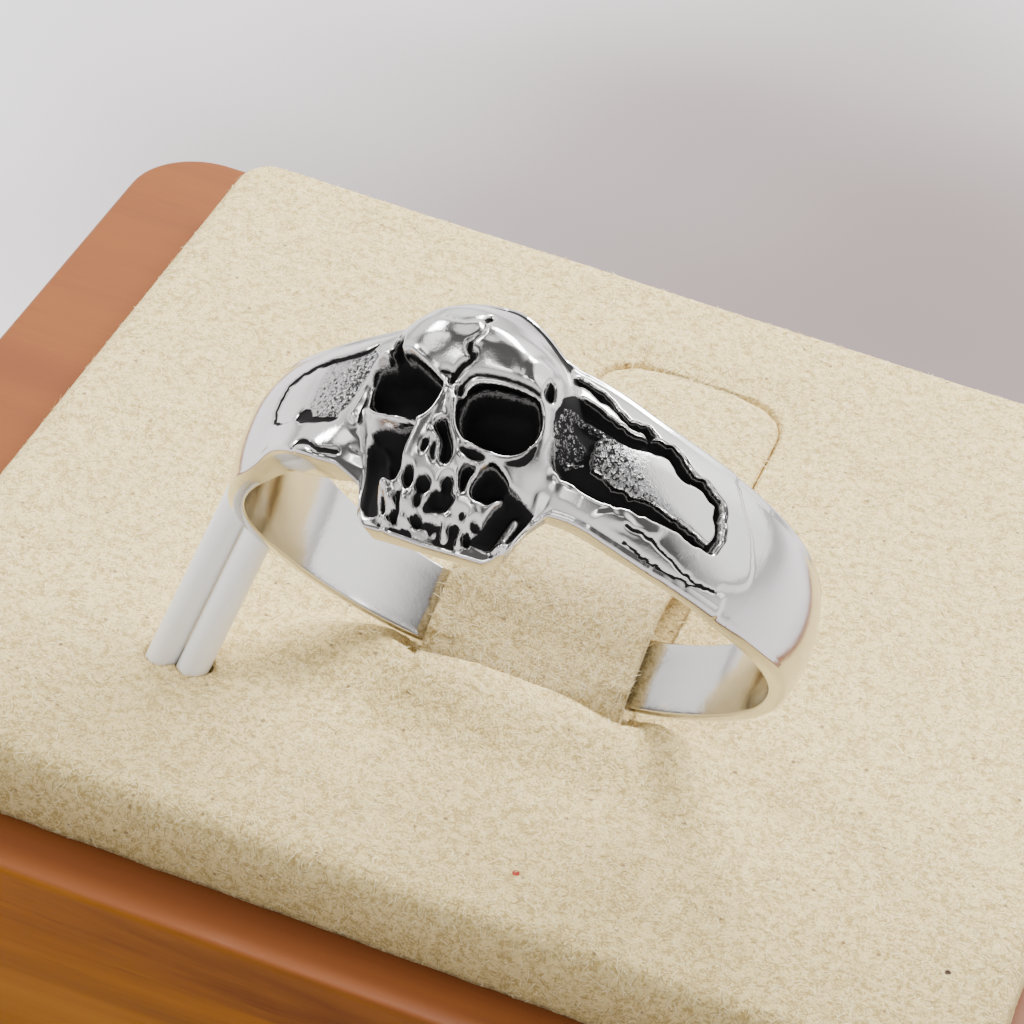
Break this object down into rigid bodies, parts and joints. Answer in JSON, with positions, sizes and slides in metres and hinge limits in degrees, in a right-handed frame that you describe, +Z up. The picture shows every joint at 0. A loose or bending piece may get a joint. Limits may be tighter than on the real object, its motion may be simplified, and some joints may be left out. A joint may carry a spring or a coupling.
{
  "type": "skull ring on a suede display pad and wood block",
  "caption": "Cast steel skull ring with recessed leaves on its shoulders, held by the flap of a suede pad on a varnished wood block.",
  "frame": {"origin": "middle of the wood block's underside, on the table", "axes": "+Z up, +X to the viewer's right along the block's front, +Y away from the viewer; the finger goes through along Y, rising 30 degrees towards the back"},
  "size_m": [0.052, 0.043, 0.0381],
  "materials": {
    "ring_steel": "polished cast steel, blackened in the recesses",
    "varnished_wood": "orange-brown varnish",
    "pad_suede": "beige suede with a short nap",
    "flap_suede": "beige suede with a short nap",
    "white_plastic": "smooth white"
  },
  "bodies": {
    "root": {"skull_ring": "ring_steel", "wood_block": "varnished_wood", "suede_pad": "pad_suede", "pad_flap": "flap_suede", "pin_left": "white_plastic", "pin_right": "white_plastic"}
  },
  "joints": []
}
